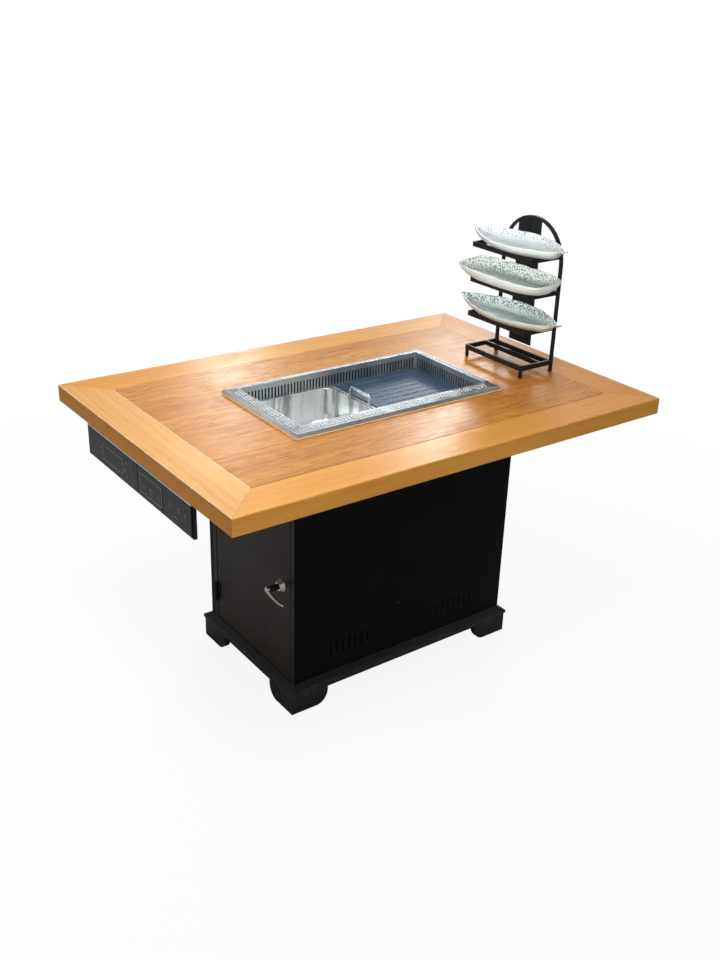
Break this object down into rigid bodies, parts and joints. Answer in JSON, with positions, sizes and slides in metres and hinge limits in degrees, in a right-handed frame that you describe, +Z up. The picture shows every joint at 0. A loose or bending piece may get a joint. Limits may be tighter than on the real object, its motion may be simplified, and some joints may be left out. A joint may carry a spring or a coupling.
{
  "type": "barbecue table",
  "caption": "Barbecue and hot-pot table: mitred wooden top, drop-in steel cooker, black cabinet with a door, touch controls under the edge and a dish rack on top.",
  "frame": {"origin": "floor level under the centre of the table top", "axes": "+X along the table's long side, -Y out of the louvred front, +Z up; the door and the controls are at the -X end"},
  "size_m": [1.3, 0.9, 1.1593],
  "materials": {
    "oiled_wood_field": "oiled solid wood, reddish brown, grain along the table",
    "oiled_wood_border": "oiled solid wood, honey brown, grain along each board",
    "black_lacquer": "satin black lacquer on board",
    "plinth_lacquer": "satin black lacquer on solid wood",
    "plain_board": "plain board, unseen inside the cabinet",
    "brushed_steel": "brushed stainless steel sheet",
    "polished_steel": "polished stainless steel sheet",
    "galvanised_sheet": "zinc-coated sheet steel",
    "griddle_coating": "cast plate with a dark blue-grey non-stick coating",
    "heater_sheath": "heat-darkened steel sheath",
    "black_plastic": "moulded black plastic",
    "black_glass": "tinted opaque touch glass",
    "chrome": "bright chrome plating",
    "black_iron": "black powder-coated iron",
    "celadon_glaze": "pale speckled glaze"
  },
  "bodies": {
    "table": {"cabinet_floor": "plain_board", "control_panel_housing": "black_plastic", "cooker_case": "galvanised_sheet", "cooker_deck": "brushed_steel", "door_frame": "black_lacquer", "fan_housing": "galvanised_sheet", "fan_motor": "black_plastic", "far_touch_glass": "black_glass", "front_air_wall": "brushed_steel", "front_border_board": "oiled_wood_border", "front_cooker_rim": "brushed_steel", "front_left_foot": "plinth_lacquer", "front_panel": "black_lacquer", "front_plinth_rail": "plinth_lacquer", "front_right_foot": "plinth_lacquer", "griddle_heating_tube": "heater_sheath", "high_hinge_frame_leaf": "black_iron", "hob_body": "black_plastic", "hob_glass": "black_glass", "left_air_wall": "brushed_steel", "left_border_board": "oiled_wood_border", "left_cooker_rim": "brushed_steel", "left_plinth_rail": "plinth_lacquer", "low_hinge_frame_leaf": "black_iron", "magnetic_catch": "black_plastic", "middle_touch_glass": "black_glass", "near_touch_glass": "black_glass", "rear_air_wall": "brushed_steel", "rear_border_board": "oiled_wood_border", "rear_cooker_rim": "brushed_steel", "rear_left_foot": "plinth_lacquer", "rear_panel": "black_lacquer", "rear_plinth_rail": "plinth_lacquer", "rear_right_foot": "plinth_lacquer", "right_air_wall": "brushed_steel", "right_border_board": "oiled_wood_border", "right_cooker_rim": "brushed_steel", "right_end_panel": "black_lacquer", "right_plinth_rail": "plinth_lacquer", "smoke_duct": "galvanised_sheet", "top_field_panel": "oiled_wood_field", "top_support_frame": "plain_board"},
    "door": {"door_panel": "black_lacquer", "handle_rosette": "chrome", "low_hinge_door_leaf": "black_iron", "high_hinge_door_leaf": "black_iron"},
    "handle": {"handle_spindle": "black_plastic", "handle_lever": "chrome"},
    "hot_pot": {"hot_pot": "polished_steel"},
    "griddle": {"griddle": "griddle_coating"},
    "grease_filter": {"grease_filter": "galvanised_sheet"},
    "fan_rotor": {"fan_impeller": "galvanised_sheet"},
    "dish_rack": {"rack_base": "black_iron", "rack_back_frame": "black_iron", "low_rack_tier": "black_iron", "middle_rack_tier": "black_iron", "top_rack_tier": "black_iron"},
    "low_dish": {"low_dish": "celadon_glaze"},
    "middle_dish": {"middle_dish": "celadon_glaze"},
    "top_dish": {"top_dish": "celadon_glaze"}
  },
  "joints": [
    {"name": "door_swing", "type": "hinge", "parent": "table", "child": "door", "pos_m": [-0.357, 0.177, 0.34], "axis": [0, 0, -1], "range_deg": [0, 105]},
    {"name": "handle_turn", "type": "hinge", "parent": "door", "child": "handle", "pos_m": [-0.3913, -0.157, 0.348], "axis": [-1, 0, 0], "range_deg": [0, 90]},
    {"name": "pot_lift", "type": "slide", "parent": "table", "child": "hot_pot", "axis": [0, 0, 1], "range_m": [0, 0.15]},
    {"name": "griddle_lift", "type": "slide", "parent": "table", "child": "griddle", "axis": [0, 0, 1], "range_m": [0, 0.15]},
    {"name": "filter_pull", "type": "slide", "parent": "table", "child": "grease_filter", "axis": [-1, 0, 0], "range_m": [0, 0.12]},
    {"name": "fan_spin", "type": "hinge", "parent": "table", "child": "fan_rotor", "pos_m": [0.165, 0, 0.2354], "axis": [0, 0, 1], "continuous": true},
    {"name": "rack_lift", "type": "slide", "parent": "table", "child": "dish_rack", "axis": [0, 0, 1], "range_m": [0, 0.1]},
    {"name": "low_dish_pull", "type": "slide", "parent": "dish_rack", "child": "low_dish", "axis": [-1, 0, 0], "range_m": [0, 0.1]},
    {"name": "middle_dish_pull", "type": "slide", "parent": "dish_rack", "child": "middle_dish", "axis": [-1, 0, 0], "range_m": [0, 0.1]},
    {"name": "top_dish_pull", "type": "slide", "parent": "dish_rack", "child": "top_dish", "axis": [-1, 0, 0], "range_m": [0, 0.1]}
  ]
}
